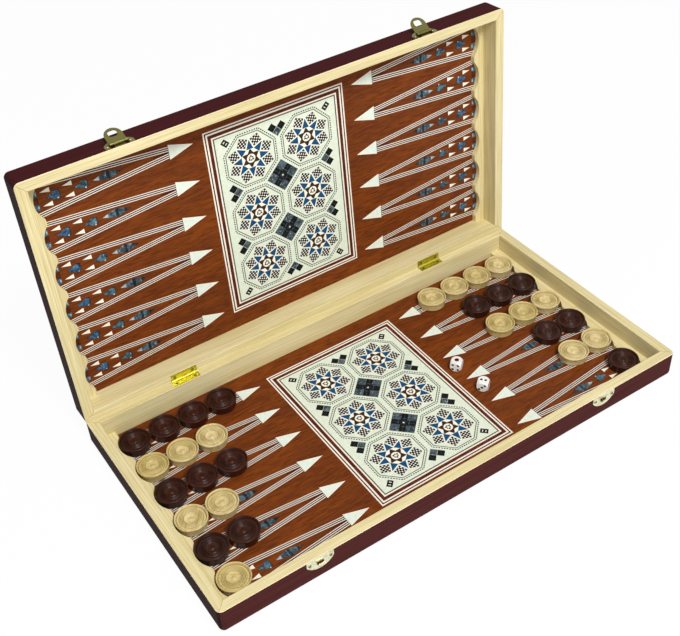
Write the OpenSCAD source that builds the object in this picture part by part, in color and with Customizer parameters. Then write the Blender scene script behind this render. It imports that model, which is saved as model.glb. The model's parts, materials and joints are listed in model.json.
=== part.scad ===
// Folding board set: two equal trays on hinges, backgammon inside and chess squares outside,
// with thirty draughts pieces and two dice. The lid stands open, leaning back a little.
// Millimetres, +Z up, +X along the length, +Y towards the hinges.
// The origin is the centre of the lower tray's underside.

/* [Trays] */
// outer length of each tray
tray_l = 494; // [470:1:520]
// outer depth of each tray, front to hinge side
tray_w = 251; // [244:1:262]
// height of each tray
tray_h = 27.6; // [25:0.2:34]
// thickness of the front and end rails
rail_t = 10; // [9:0.5:11]
// thickness of the rail on the hinge side
hinge_rail_t = 8; // [8:0.25:9]
// rounding of the outer edges, sharp only at the fold
edge_r = 5; // [3:0.25:5.5]
// easing of the rim's edges
rim_ease = 0.5; // [0.2:0.1:0.8]
// thickness of the board
board_t = 3.5; // [3:0.25:5]
// how far the board is let into the rails
let_in = 2.5; // [1.5:0.25:3]
// how far the lid is open, from closed
lid_open = 93.6; // [90:0.1:120]

/* [Racks and points] */
// how far the racks reach in from the end rails
rack_w = 11.7; // [10:0.1:14]
// height of the racks above the board
rack_h = 5; // [3.5:0.25:8]
// width of a scoop at its mouth
scoop_l = 31; // [27:0.5:32]
// depth of a scoop
scoop_d = 6; // [4:0.25:7]
// rounding of the rack's teeth
tooth_r = 2.5; // [1:0.1:3]
// bare board between the outermost points and the rails
row_margin = 5.5; // [4:0.25:7]
// thickness of the inlays
inlay_t = 0.6; // [0.4:0.05:0.8]
// distance from the centre to the arrowheads' tips
arrow_tip = 83; // [80:0.5:90]
// length of an arrowhead
arrow_l = 23.4; // [18:0.2:28]
// width of an arrowhead
arrow_w = 14.4; // [12:0.2:16]
// width of the lined strips
strip_w = 5.9; // [5:0.1:6.2]
// distance of a strip from its point's middle at the rack
strip_spread = 13.6; // [13:0.1:15]
// length of the four white darts in a point
dart_l = 8.6; // [7:0.1:9]
// width of the four white darts
dart_w = 4.4; // [3:0.1:4.8]
// width of the blue shell pieces and the long one
shell_w = 8; // [6:0.1:8.4]
// length of the long shell piece
shell_l = 27; // [22:0.5:30]

/* [Centre panel and outer squares] */
// length of the centre panel
panel_l = 146.4; // [140:0.2:150]
// width of the centre panel
panel_w = 196.4; // [190:0.2:200]
// width of the border's outer lines
outer_lines_w = 4.2; // [3:0.1:5]
// width of the border's dark band
dark_band_w = 3.2; // [2:0.1:4]
// width of the border's inner lines
inner_lines_w = 2.7; // [2:0.1:3.5]
// bare ground between the rows of octagons
row_gap = 3.2; // [2:0.1:5]
// bare ground between the two columns of octagons
column_gap = 5; // [3:0.1:7]
// bare ground between the octagons and the border
ground_edge = 3; // [2:0.1:4.5]
// width of an octagon's outline
outline_w = 1.5; // [1:0.1:2]
// edge length of a star's checked squares
check_a = 8.8; // [8:0.1:9]
// distance of the checked squares' middles from the star's middle
check_r = 18.3; // [18:0.1:18.6]
// distance of the blue points' tips from the star's middle
blue_tip = 17.8; // [16:0.1:18.2]
// distance of the blue points' bases from the star's middle
blue_base = 9.7; // [9.2:0.1:11]
// width of a blue point
blue_w = 6; // [4:0.1:6.8]
// distance of the inner star's tips from its middle
inner_star_r = 8.4; // [8:0.1:8.6]
// radius of the button in the inner star
button_r = 4.2; // [3:0.1:4.4]
// edge length of the dark diamonds
diamond_a = 23.6; // [20:0.2:25]
// edge length of the squares in the half diamonds
half_cell = 6.9; // [5:0.1:7.2]
// length of the dark tiles in the corners
corner_l = 7.6; // [5:0.1:8]
// width of the dark tiles in the corners
corner_w = 5.5; // [4:0.1:6]
// pitch of the chess squares outside
square_pitch = 56; // [50:0.5:57]
// bare board between two outer squares
square_gap = 0.4; // [0.2:0.1:1]
// distance from the fold to the first row of outer squares
square_fold = 9; // [8.5:0.5:12]

/* [Draughts pieces and dice] */
// diameter of a draughts piece
piece_d = 29.7; // [28:0.1:30]
// height of a draughts piece
piece_h = 8; // [7:0.1:9.5]
// height of a piece's lip
lip_t = 2.2; // [1.6:0.1:2.8]
// width of the raised rim on a piece's top
piece_rim = 1.3; // [1:0.1:1.6]
// depth of the bowl in a piece's top
bowl_d = 1.6; // [1:0.1:2]
// free space between two pieces in a row
piece_gap = 0.4; // [0.3:0.1:1]
// edge length of a die
die_a = 11; // [10:0.25:13]
// radius of a die's pips
pip_r = 1.3; // [1:0.05:1.4]
// radius of the single pip on a die's first face
big_pip_r = 2.3; // [1.5:0.1:2.8]
// first die, distance right of the centre
die_one_x = 84.9; // [80:0.1:95]
// first die, distance towards the hinges
die_one_y = 0.4; // [-5:0.1:5]
// second die, distance right of the centre
die_two_x = 87.9; // [80:0.1:95]
// second die, distance towards the hinges
die_two_y = -36.4; // [-45:0.1:-25]
// how far the dice are turned
die_turn = 36.7; // [0:0.1:90]

/* [Hinges] */
// distance of each hinge from the middle
hinge_x = 145.5; // [120:0.5:180]
// length of a hinge
leaf_l = 27.2; // [22:0.2:30]
// width of a leaf on the rim
leaf_w = 7.4; // [6.6:0.1:7.4]
// thickness of a leaf
leaf_t = 1; // [0.8:0.05:1.2]
// outer radius of the hinge knuckles
knuckle_r = 1.8; // [1.6:0.05:2.2]
// radius of the hinge pins
pin_r = 0.8; // [0.6:0.05:0.9]
// gap between the two rims when the box is shut
rim_gap = 0.2; // [0.15:0.05:0.6]

/* [Catches] */
// distance of each catch from the middle
catch_x = 154.5; // [130:0.5:190]
// length of the half-moon plates
plate_l = 26; // [24:0.5:28]
// depth of the half-moon plates
plate_h = 13; // [12:0.25:14]
// thickness of the plates and tabs
plate_t = 0.8; // [0.6:0.05:0.9]
// distance of the tab's pivot from the rim
pivot_drop = 4.5; // [4:0.1:5]
// outer radius of the tab's knuckles
curl_r = 1.5; // [1.4:0.05:1.6]
// width of a tab
tab_w = 16; // [15:0.2:16.4]
// length of a tab from its pivot
tab_l = 17; // [16.5:0.1:18]
// how far the left tab is swung open, from shut
left_tab_open = 157; // [100:1:160]
// how far the right tab is swung open, from shut
right_tab_open = 143; // [100:1:160]

/* [Hidden] */
rows = 6;
stack = [4, 3, 3, 2, 2, 1];
run_gap = 0.05; // running fit of a pin in its knuckles
side_gap = 0.1; // space beside a knuckle
seat_gap = 0.1; // under the pieces and dice
seam = 0.15; // round the parts of the centre panel
tile_gap = 2; // bare ground between an octagon and the dark tiles
in_x = tray_l / 2 - rail_t;
in_front = -tray_w / 2 + rail_t;
in_back = tray_w / 2 - hinge_rail_t;
row_pitch = (in_back - in_front - 2 * row_margin) / rows;
mid_y = (in_back + in_front) / 2;
tooth_x = in_x - rack_w;
scoop_r = (scoop_l * scoop_l / 4 + scoop_d * scoop_d) / (2 * scoop_d);
scoop_x = tooth_x + scoop_d - scoop_r;
first_x = scoop_x + scoop_r - piece_d / 2 - 0.45;
piece_pitch = piece_d + piece_gap;
axis_y = tray_w / 2 + rim_gap / 2;
axis_z = tray_h + rim_gap / 2;
knuckles = 5;
knuckle_l = leaf_l / knuckles;
leaf_screw_u = leaf_l / 2 - 4.1;
leaf_screw_v = leaf_w / 2 + 0.3;
plate_rise = 2; // the half-moon's centre above the rim
plate_r = plate_h + plate_rise;
plate_edge = rim_ease + 0.1; // from the rim to a plate
plate_screw_u = 10;
plate_screw_v = 4.5;
pivot_out = curl_r + 0.4; // from the wood to the tab's pivot
curl_l = 3; // length of each outer knuckle of a tab
mid_l = tab_w - 2 * curl_l - 0.6; // length of the base's middle knuckle
catch_pin_r = 0.6;
tab_hole_l = 8;
tab_hole_w = 6.8;
tab_hole_y = 11; // from the pivot to the hole's middle
tongue_w = 6;
countersink_r = 1.7;
head_r = 1.6;
head_h = 0.9;
shank_r = 0.85;
shank_l = 6.5;
pale = [0.89, 0.83, 0.62];
mahogany = [0.5, 0.23, 0.09];
mint = [0.87, 0.92, 0.85];
blue_black = [0.2, 0.25, 0.3];
brass_yellow = [0.85, 0.75, 0.25];
dark_piece = [0.17, 0.09, 0.07];
light_piece = [0.86, 0.79, 0.55];
white = [0.95, 0.95, 0.93];
$fn = 72;

// where each piece lies: side, row from the hinges, place from the rack
dark_spots = [for (s = [-1, 1]) for (r = [0:rows - 1]) if ((r % 2 == 0) == (s < 0))
  for (p = [0:stack[r] - 1]) [s, r, p]];
light_spots = [for (s = [-1, 1]) for (r = [0:rows - 1]) if ((r % 2 == 0) == (s > 0))
  for (p = [0:stack[r] - 1]) [s, r, p]];

function row_y(r) = mid_y + row_pitch * ((rows - 1) / 2 - r);

// a tray's own place turned about the hinge line into the open lid
module on_lid() {
  translate([0, axis_y, axis_z]) rotate([180 - lid_open, 0, 0]) rotate([0, 0, 180])
    translate([0, -axis_y, -axis_z]) children();
}

// x along the front rail, y up to the rim, z out of the wood
module on_front(x) {
  translate([x, -tray_w / 2, tray_h]) rotate([90, 0, 0]) children();
}

module along_x(from, to, r) {
  translate([from, 0, 0]) rotate([0, 90, 0]) cylinder(r = r, h = to - from);
}

// Wooden trays

// outer form of the four walls: rounded below and eased along the rim, but sharp at the fold,
// where two halves meet as one chess board; without the two front corners
module walls() {
  difference() {
    intersection() {
      rotate([90, 0, 90]) linear_extrude(tray_l, center = true)
        wall_section(tray_w / 2, true);
      rotate([90, 0, 0]) linear_extrude(tray_w, center = true)
        wall_section(tray_l / 2, false);
    }
    for (s = [-1, 1]) translate([s * tray_l / 2, -tray_w / 2, 0])
      cube([2 * edge_r, 2 * edge_r, 3 * tray_h], center = true);
  }
}

module front_corners() {
  post_h = tray_h - edge_r;
  for (s = [-1, 1]) translate([s * (tray_l / 2 - edge_r), edge_r - tray_w / 2, edge_r]) {
    sphere(r = edge_r);
    rotate_extrude() polygon([[0, 0], [edge_r, 0], [edge_r, post_h - rim_ease],
      [edge_r - rim_ease, post_h], [0, post_h]]);
  }
}

// section through two opposite walls, the second one with sharp edges if it is at the fold
module wall_section(half, fold) {
  difference() {
    polygon(concat([[-half, 0], [-half, tray_h - rim_ease], [rim_ease - half, tray_h]],
      fold ? [[half, tray_h], [half, 0]] :
      [[half - rim_ease, tray_h], [half, tray_h - rim_ease], [half, 0]]));
    for (s = fold ? [-1] : [-1, 1]) translate([s * half, 0]) difference() {
      square(2 * edge_r, center = true);
      translate([-s * edge_r, edge_r]) circle(r = edge_r);
    }
  }
}

// the inner easing, along x through the origin, past the mitres at both ends
module inner_easing(length) {
  rotate([45, 0, 0]) cube([length + 6 * rim_ease, rim_ease * sqrt(2), rim_ease * sqrt(2)],
    center = true);
}

module board_blank() {
  translate([-in_x - let_in, in_front - let_in, 0])
    cube([2 * (in_x + let_in), in_back - in_front + 2 * let_in, board_t]);
}

// from a tray's inner corner through its outer one, and as far again outside
function mitre(side, end) = let (inner = [side * in_x, end > 0 ? in_back : in_front])
  [side * tray_l, end * tray_w] - inner;

module within(plan) {
  intersection() {
    children();
    translate([0, 0, -1]) linear_extrude(tray_h + 2) polygon(plan);
  }
}

module rail(plan, at_front) {
  difference() {
    union() {
      within(plan) walls();
      if (at_front) within(plan) front_corners();
    }
    board_blank();
  }
}

module right_rail() {
  difference() {
    rail([mitre(1, -1), mitre(1, 1), [in_x, in_back], [in_x, in_front]], true);
    translate([in_x, mid_y, tray_h]) rotate(90) inner_easing(in_back - in_front);
  }
}

module left_rail() {
  mirror([1, 0, 0]) right_rail();
}

module front_rail() {
  difference() {
    rail([mitre(-1, -1), mitre(1, -1), [in_x, in_front], [-in_x, in_front]], true);
    translate([0, in_front, tray_h]) inner_easing(2 * in_x);
    for (s = [-1, 1]) on_front(s * catch_x) plate_screw_holes(-shank_l - 0.2, 0);
  }
}

module hinge_rail() {
  difference() {
    rail([mitre(-1, 1), mitre(1, 1), [in_x, in_back], [-in_x, in_back]], false);
    translate([0, in_back, tray_h]) inner_easing(2 * in_x);
    for (s = [-1, 1]) translate([s * hinge_x, 0, 0]) {
      translate([-leaf_l / 2 - side_gap, tray_w / 2 - leaf_w, tray_h - leaf_t])
        cube([leaf_l + 2 * side_gap, leaf_w + 1, leaf_t + 1]);
      translate([0, axis_y, axis_z])
        along_x(-leaf_l / 2 - 0.3, leaf_l / 2 + 0.3, knuckle_r + 0.3);
      leaf_screw_holes(tray_h - leaf_t - shank_l - 0.2, tray_h);
    }
  }
}

// Board and inlays

module row_ends() {
  for (s = [-1, 1]) for (r = [0:rows - 1]) translate([0, row_y(r)])
    rotate(s > 0 ? 0 : 180) children();
}

module racks() {
  reach = tooth_x + tooth_r - scoop_x;
  side = sqrt(pow(scoop_r + tooth_r, 2) - reach * reach);
  k = scoop_r / (scoop_r + tooth_r);
  translate([0, 0, board_t]) linear_extrude(rack_h) {
    difference() {
      for (s = [-1, 1]) translate([s * (tooth_x + in_x) / 2 - rack_w / 2, in_front])
        square([rack_w, in_back - in_front]);
      row_ends() {
        translate([scoop_x, 0]) circle(r = scoop_r);
        polygon([[tooth_x - 1, -side], [tooth_x, -side],
          [scoop_x + reach * k, -side * k], [scoop_x + reach * k, side * k],
          [tooth_x, side], [tooth_x - 1, side]]);
      }
    }
    row_ends() for (t = [-1, 1]) translate([tooth_x + tooth_r, t * side])
      circle(r = tooth_r);
  }
}

// arrowhead, two lined strips that run in under the rack, and what lies between them
module points_2d() {
  base = arrow_tip + arrow_l;
  start = base + 0.3;
  near = strip_w / 2 + 0.2;
  far_x = tooth_x + scoop_d;
  far = near + (strip_spread - near) * (far_x - start) / (tooth_x - start);
  row_ends() {
    polygon([[arrow_tip, 0], [base, -arrow_w / 2], [base, arrow_w / 2]]);
    for (t = [-1, 1]) polygon([
      [start, t * near - strip_w / 2], [start, t * near + strip_w / 2],
      [far_x, t * far + strip_w / 2], [far_x, t * far - strip_w / 2]]);
    translate([tooth_x, 0]) mosaic();
  }
}

// small pieces between two strips, x running out from the teeth
module mosaic() {
  for (t = [-1, 1]) {
    dart(-2.2, 6.5 * t);
    dart(-21.5, 5.3 * t);
    translate([0.3, 6.3 * t - 2.7]) square([scoop_d - 1, 5.4]);
  }
  translate([0.3, -3.5]) square([scoop_d - 1, 7]);
  translate([-6.6, 0]) shell_bud();
  translate([-31.3, 0]) shell_bud();
  translate([-48, 0]) polygon([[0, 0], [-shell_l * 0.4, -shell_w / 2],
    [-shell_l * 0.6, -shell_w / 2], [-shell_l, 0], [-shell_l * 0.6, shell_w / 2],
    [-shell_l * 0.4, shell_w / 2]]);
}

module dart(x, y) {
  translate([x, y]) polygon([[0, 0], [-dart_l, -dart_w / 2], [-dart_l, dart_w / 2]]);
}

module shell_bud() {
  polygon([[0, -1], [-5, -shell_w * 0.3], [-8, -shell_w / 2], [-10.5, -shell_w * 0.4],
    [-10.5, shell_w * 0.4], [-8, shell_w / 2], [-5, shell_w * 0.3], [0, 1]]);
}

module point_inlays() {
  translate([0, 0, board_t - inlay_t]) linear_extrude(inlay_t) points_2d();
}

// The centre panel's parts lie side by side with a seam round each: the modules below draw
// them with no slack, and cut their places with a seam's slack

border_w = outer_lines_w + dark_band_w + inner_lines_w;
ground = [panel_l, panel_w] - 2 * [border_w, border_w];
octagon_w = (ground[1] - 2 * ground_edge - 2 * row_gap) / 3; // across the flats
pitch = octagon_w * [1, 1] + [column_gap, row_gap];

module bands() {
  edges = [0, outer_lines_w, outer_lines_w + dark_band_w, border_w];
  for (i = [0:2]) difference() {
    square([panel_l, panel_w] - 2 * edges[i] * [1, 1], center = true);
    square([panel_l, panel_w] - 2 * (edges[i + 1] - seam) * [1, 1], center = true);
  }
}

module octagon(width) {
  rotate(22.5) circle(d = width / cos(22.5), $fn = 8);
}

module at_octagons() {
  for (i = [-0.5, 0.5]) for (j = [-1:1]) translate([i * pitch[0], j * pitch[1]]) children();
}

// eight checked squares, eight blue points between them and a six-pointed star inside
module star_tiles(slack) {
  for (k = [0:7]) rotate(45 * k) {
    rotate(22.5) translate([check_r, 0]) rotate(45) square(check_a + 2 * slack, center = true);
    polygon([[blue_tip + 3 * slack, 0], [blue_base - slack, -blue_w / 2 - 1.5 * slack],
      [blue_base - slack, blue_w / 2 + 1.5 * slack]]);
  }
  for (a = [30, 90]) rotate(a) circle(r = inner_star_r + 2 * slack, $fn = 3);
}

module stars() {
  at_octagons() {
    difference() {
      star_tiles(0);
      circle(r = button_r + seam);
    }
    circle(r = button_r);
    difference() {
      octagon(octagon_w - 2 * outline_w - 2 * seam);
      star_tiles(seam);
    }
    difference() {
      octagon(octagon_w);
      octagon(octagon_w - 2 * outline_w);
    }
  }
}

module cells(a, places, slack) {
  rotate(45) for (p = places) translate(p * a) square(a - seam + 2 * slack, center = true);
}

// whole diamonds between four octagons, half ones at the border and tiles in the corners
module small_tiles(slack) {
  reach = (octagon_w / 2 + tile_gap) * sqrt(2);
  for (s = [-1, 1]) {
    translate([0, s * pitch[1] / 2])
      cells(diamond_a / 3, [for (i = [-1:1]) for (j = [-1:1]) [i, j]], slack);
    rotate(s > 0 ? 0 : 180)
      translate([0, pitch[1] + reach - pitch[0] / 2]) half_diamond(slack);
    for (t = [-1, 1]) {
      translate([s * (pitch[0] / 2 + reach - pitch[1] / 2), t * pitch[1] / 2])
        rotate(-90 * s) half_diamond(slack);
      translate([s * pitch[0] / 2, t * pitch[1]]) rotate(atan2(t, s))
        translate([octagon_w / 2 + tile_gap + corner_l / 2, 0])
        square([corner_l + 2 * slack, corner_w + 2 * slack], center = true);
    }
  }
}

// three squares with a tip at the origin
module half_diamond(slack) {
  translate([0, half_cell / sqrt(2)]) cells(half_cell, [[0, 0], [1, 0], [0, 1]], slack);
}

module centre_panel() {
  translate([0, mid_y, board_t - inlay_t]) linear_extrude(inlay_t) {
    bands();
    difference() {
      square(ground, center = true);
      at_octagons() octagon(octagon_w + 2 * seam);
      small_tiles(seam);
    }
    stars();
    small_tiles(0);
  }
}

module chess_squares() {
  far = tray_w / 2 - square_fold;
  for (c = [0:7]) for (r = [0:3]) if ((c + r) % 2 == 0)
    translate([(c - 4) * square_pitch + square_gap / 2,
      far - (r + 1) * square_pitch + square_gap / 2, 0])
      cube([square_pitch - square_gap, square_pitch - square_gap, inlay_t]);
}

module board() {
  difference() {
    board_blank();
    translate([0, 0, board_t - inlay_t]) linear_extrude(inlay_t + 1) {
      points_2d();
      translate([0, mid_y]) square([panel_l, panel_w], center = true);
    }
    chess_squares();
  }
}

// Hinges

module leaf_screw_holes(from, to) {
  for (u = [-1, 1]) translate([u * leaf_screw_u, tray_w / 2 - leaf_screw_v, 0]) {
    translate([0, 0, from]) cylinder(r = shank_r + 0.05, h = to - from);
    translate([0, 0, tray_h - leaf_t]) cylinder(r1 = shank_r + 0.05,
      r2 = countersink_r, h = leaf_t);
  }
}

module hinge_leaves(first) {
  for (s = [-1, 1]) translate([s * hinge_x, 0, 0]) difference() {
    union() {
      translate([-leaf_l / 2, tray_w / 2 - leaf_w, tray_h - leaf_t])
        cube([leaf_l, axis_y - pin_r - 0.2 - tray_w / 2 + leaf_w, leaf_t]);
      for (k = [first:2:knuckles - 1]) translate([0, axis_y, axis_z])
        along_x(k * knuckle_l - leaf_l / 2 + side_gap,
          (k + 1) * knuckle_l - leaf_l / 2 - side_gap, knuckle_r);
    }
    for (k = [1 - first:2:knuckles - 1]) translate([0, axis_y, axis_z])
      along_x(k * knuckle_l - leaf_l / 2 - (k == 0 ? 1 : 0),
        (k + 1) * knuckle_l - leaf_l / 2 + (k == knuckles - 1 ? 1 : 0), knuckle_r + 0.2);
    translate([0, axis_y, axis_z]) along_x(-leaf_l, leaf_l, pin_r + run_gap);
    leaf_screw_holes(tray_h - leaf_t - 1, tray_h);
  }
}

module leaf_screws() {
  for (s = [-1, 1]) for (u = [-1, 1])
    translate([s * hinge_x + u * leaf_screw_u, tray_w / 2 - leaf_screw_v, tray_h])
    difference() {
      union() {
        translate([0, 0, -leaf_t]) cylinder(r1 = shank_r + 0.05, r2 = countersink_r, h = leaf_t);
        translate([0, 0, -leaf_t - shank_l]) cylinder(r = shank_r, h = shank_l);
      }
      cross_slot();
    }
}

module cross_slot() {
  for (a = [0, 90]) rotate(a) translate([-1, -0.2, -0.4]) cube([2, 0.4, 3]);
}

// Catches, drawn with y up to the rim and z out of the wood

module plate_screw_holes(from, to) {
  for (u = [-1, 1]) translate([u * plate_screw_u, -plate_screw_v, from])
    cylinder(r = shank_r + 0.05, h = to - from);
}

module half_moon() {
  intersection() {
    translate([0, plate_rise]) circle(r = plate_r);
    translate([-plate_l / 2, -plate_h - 1]) square([plate_l, plate_h + 1 - plate_edge]);
  }
}

module catch_base() {
  pivot = [0, -pivot_drop, pivot_out];
  notch = [(tab_w - mid_l) / 2 + 0.2, pivot_drop + curl_r + 1.5, 3 * plate_t];
  difference() {
    union() {
      linear_extrude(plate_t) half_moon();
      translate(pivot) along_x(-mid_l / 2, mid_l / 2, curl_r);
    }
    for (s = [-1, 1]) translate([s * ((tab_w + mid_l) / 4 + 0.2), 1 - notch[1] / 2, 0])
      cube(notch, center = true);
    plate_screw_holes(-1, plate_t + 1);
    translate(pivot) along_x(-tab_w, tab_w, catch_pin_r + run_gap);
  }
}

module tab_outline() {
  difference() {
    union() {
      translate([-tab_w / 2, 0]) square([tab_w, tab_l - tab_w / 2]);
      translate([0, tab_l - tab_w / 2]) circle(d = tab_w);
    }
    translate([-mid_l / 2 - 0.3, -1]) square([mid_l + 0.6, curl_r + 1.7]);
    tab_hole();
  }
}

module tab_hole() {
  r = 2.5;
  translate([0, tab_hole_y]) {
    square([tab_hole_l - 2 * r, tab_hole_w], center = true);
    square([tab_hole_l, tab_hole_w - 2 * r], center = true);
    for (s = [-1, 1]) for (t = [-1, 1])
      translate([s * (tab_hole_l / 2 - r), t * (tab_hole_w / 2 - r)]) circle(r = r);
  }
}

module catch_tab(open) {
  dome_r = 2.2;
  dome_h = 0.9;
  ball_r = (dome_r * dome_r + dome_h * dome_h) / (2 * dome_h);
  strap_y = (curl_r + 0.7 + tab_hole_y - tab_hole_w / 2) / 2;
  translate([0, -pivot_drop, pivot_out]) rotate([open, 0, 0]) difference() {
    union() {
      translate([0, 0, curl_r - plate_t]) linear_extrude(plate_t) tab_outline();
      for (s = [-1, 1]) translate([s * (tab_w - curl_l) / 2, 0, 0])
        along_x(-curl_l / 2, curl_l / 2, curl_r);
      translate([0, strap_y, curl_r]) intersection() {
        translate([0, 0, dome_h - ball_r]) sphere(r = ball_r);
        translate([-tab_w, -tab_w, -plate_t / 2]) cube([2 * tab_w, 2 * tab_w, tab_w]);
      }
    }
    along_x(-tab_w, tab_w, catch_pin_r + run_gap);
  }
}

module catch_keeper() {
  difference() {
    linear_extrude(plate_t) half_moon();
    translate([-tongue_w / 2 - 0.4, -7.9, -1]) cube([tongue_w + 0.8, 3.3, plate_t + 2]);
    plate_screw_holes(-1, plate_t + 1);
  }
  translate([-tongue_w / 2, 0, 0]) rotate([90, 0, 90]) linear_extrude(tongue_w)
    polygon([[-9.4, plate_t / 2], [-6.6, 3.6], [-5.4, 3.6], [-5.4, 2.8], [-6.2, 2.8],
      [-7.9, plate_t], [-7.9, plate_t / 2]]);
}

module plate_screws() {
  ball_r = (head_r * head_r + head_h * head_h) / (2 * head_h);
  for (s = [-1, 1]) on_front(s * catch_x) for (u = [-1, 1])
    translate([u * plate_screw_u, -plate_screw_v, plate_t]) difference() {
      union() {
        rotate_extrude() intersection() {
          translate([0, head_h - ball_r]) circle(r = ball_r);
          square([head_r, head_h]);
        }
        translate([0, 0, -plate_t - shank_l]) cylinder(r = shank_r, h = plate_t + shank_l);
      }
      translate([0, 0, head_h - 0.2]) cross_slot();
    }
}

// Draughts pieces and dice

// section of a draughts piece: foot, lip, sunk band, two beads and a bowl with a button
module piece_section() {
  r = piece_d / 2;
  body_r = r - 0.9;
  foot = 1;
  band_z = piece_h - 0.7;
  bead_r = 0.8;
  beads = [r * 0.49, r * 0.625];
  bowl_w = beads[0] - bead_r;
  bowl_r = (bowl_w * bowl_w + bowl_d * bowl_d) / (2 * bowl_d);
  dish = [beads[1] + bead_r, r - piece_rim];
  dish_d = 0.35;
  dish_r = (pow(dish[1] - dish[0], 2) / 4 + dish_d * dish_d) / (2 * dish_d);
  difference() {
    union() {
      square([body_r - foot, band_z]);
      translate([0, foot]) square([body_r, band_z - foot]);
      translate([body_r - foot, foot]) circle(r = foot);
      translate([0, piece_h - lip_t]) square([r - piece_rim, lip_t - 0.7]);
    }
    translate([0, band_z - bowl_d + bowl_r]) circle(r = bowl_r);
    translate([(dish[0] + dish[1]) / 2, band_z - dish_d + dish_r]) circle(r = dish_r);
    translate([-piece_d, -1]) square([piece_d, piece_h + 2]);
  }
  intersection() {
    translate([0, band_z - bowl_d - 1.6]) circle(r = 2.2);
    square(piece_d);
  }
  for (x = beads) translate([x, band_z - bead_r + 0.45]) circle(r = bead_r);
  translate([r - piece_rim, piece_h - lip_t + piece_rim / 2])
    square([piece_rim, lip_t - piece_rim]);
  for (z = [piece_h - lip_t + piece_rim / 2, piece_h - piece_rim / 2])
    translate([r - piece_rim / 2, z]) circle(d = piece_rim);
}

module game_piece(spot) {
  translate([spot[0] * (first_x - spot[2] * piece_pitch), row_y(spot[1]), board_t + seat_gap])
    rotate_extrude() piece_section();
}

// pips of one face, drawn flat
module pips(n) {
  q = die_a * 0.24;
  if (n == 1) circle(r = big_pip_r);
  else if (n == 2) for (s = [-1, 1]) translate([0, s * die_a * 0.19]) circle(r = pip_r);
  else for (p = n == 3 ? [[-q, q], [0, 0], [q, -q]] :
      n == 4 ? [[-q, -q], [-q, q], [q, -q], [q, q]] :
      n == 5 ? [[-q, -q], [-q, q], [0, 0], [q, -q], [q, q]] :
      [[-q, -q], [-q, 0], [-q, q], [q, -q], [q, 0], [q, q]])
    translate(p) circle(r = pip_r);
}

// faces listed as top, below, left, right, front, back
module die(x, y, faces) {
  pip_t = 0.25;
  turns = [[0, 0, 0], [180, 0, 0], [0, -90, 0], [0, 90, 0], [90, 0, 0], [-90, 0, 0]];
  translate([x, y, board_t + seat_gap + die_a / 2]) rotate(die_turn) difference() {
    intersection() {
      cube(die_a, center = true);
      sphere(r = die_a * 0.68);
    }
    for (i = [0:5]) rotate(turns[i]) translate([0, 0, die_a / 2 - pip_t])
      linear_extrude(pip_t + 1) pips(faces[i]);
  }
}

// Sub-parts

module lower_front_rail() color(pale) front_rail();
module lower_hinge_rail() color(pale) hinge_rail();
module lower_left_rail() color(pale) left_rail();
module lower_right_rail() color(pale) right_rail();
module lower_board() color(mahogany) board();
module lower_racks() color(pale) racks();
module lower_point_inlays() color(mint) point_inlays();
module lower_centre_panel() color(mint) centre_panel();
module lower_chess_squares() color(pale) chess_squares();
module upper_front_rail() color(pale) on_lid() front_rail();
module upper_hinge_rail() color(pale) on_lid() hinge_rail();
module upper_left_rail() color(pale) on_lid() right_rail();
module upper_right_rail() color(pale) on_lid() left_rail();
module upper_board() color(mahogany) on_lid() board();
module upper_racks() color(pale) on_lid() racks();
module upper_point_inlays() color(mint) on_lid() point_inlays();
module upper_centre_panel() color(mint) on_lid() centre_panel();
module upper_chess_squares() color(pale) on_lid() chess_squares();
module lower_hinge_leaves() color(brass_yellow) hinge_leaves(0);
module upper_hinge_leaves() color(brass_yellow) on_lid() hinge_leaves(1);
module hinge_pins() color(brass_yellow) for (s = [-1, 1])
  translate([s * hinge_x, axis_y, axis_z]) along_x(-leaf_l / 2, leaf_l / 2, pin_r);
module catch_bases() color(brass_yellow) on_lid() for (s = [-1, 1])
  on_front(s * catch_x) catch_base();
module left_catch_tab() color(brass_yellow) on_lid() on_front(catch_x)
  catch_tab(left_tab_open);
module right_catch_tab() color(brass_yellow) on_lid() on_front(-catch_x)
  catch_tab(right_tab_open);
module catch_pins() color(brass_yellow) on_lid() for (s = [-1, 1]) on_front(s * catch_x)
  translate([0, -pivot_drop, pivot_out]) along_x(-tab_w / 2, tab_w / 2, catch_pin_r);
module catch_keepers() color(brass_yellow) for (s = [-1, 1])
  on_front(s * catch_x) catch_keeper();
module lower_screws() color(brass_yellow) { leaf_screws(); plate_screws(); }
module upper_screws() color(brass_yellow) on_lid() { leaf_screws(); plate_screws(); }
module dark_piece_01() color(dark_piece) game_piece(dark_spots[0]);
module dark_piece_02() color(dark_piece) game_piece(dark_spots[1]);
module dark_piece_03() color(dark_piece) game_piece(dark_spots[2]);
module dark_piece_04() color(dark_piece) game_piece(dark_spots[3]);
module dark_piece_05() color(dark_piece) game_piece(dark_spots[4]);
module dark_piece_06() color(dark_piece) game_piece(dark_spots[5]);
module dark_piece_07() color(dark_piece) game_piece(dark_spots[6]);
module dark_piece_08() color(dark_piece) game_piece(dark_spots[7]);
module dark_piece_09() color(dark_piece) game_piece(dark_spots[8]);
module dark_piece_10() color(dark_piece) game_piece(dark_spots[9]);
module dark_piece_11() color(dark_piece) game_piece(dark_spots[10]);
module dark_piece_12() color(dark_piece) game_piece(dark_spots[11]);
module dark_piece_13() color(dark_piece) game_piece(dark_spots[12]);
module dark_piece_14() color(dark_piece) game_piece(dark_spots[13]);
module dark_piece_15() color(dark_piece) game_piece(dark_spots[14]);
module light_piece_01() color(light_piece) game_piece(light_spots[0]);
module light_piece_02() color(light_piece) game_piece(light_spots[1]);
module light_piece_03() color(light_piece) game_piece(light_spots[2]);
module light_piece_04() color(light_piece) game_piece(light_spots[3]);
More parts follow.
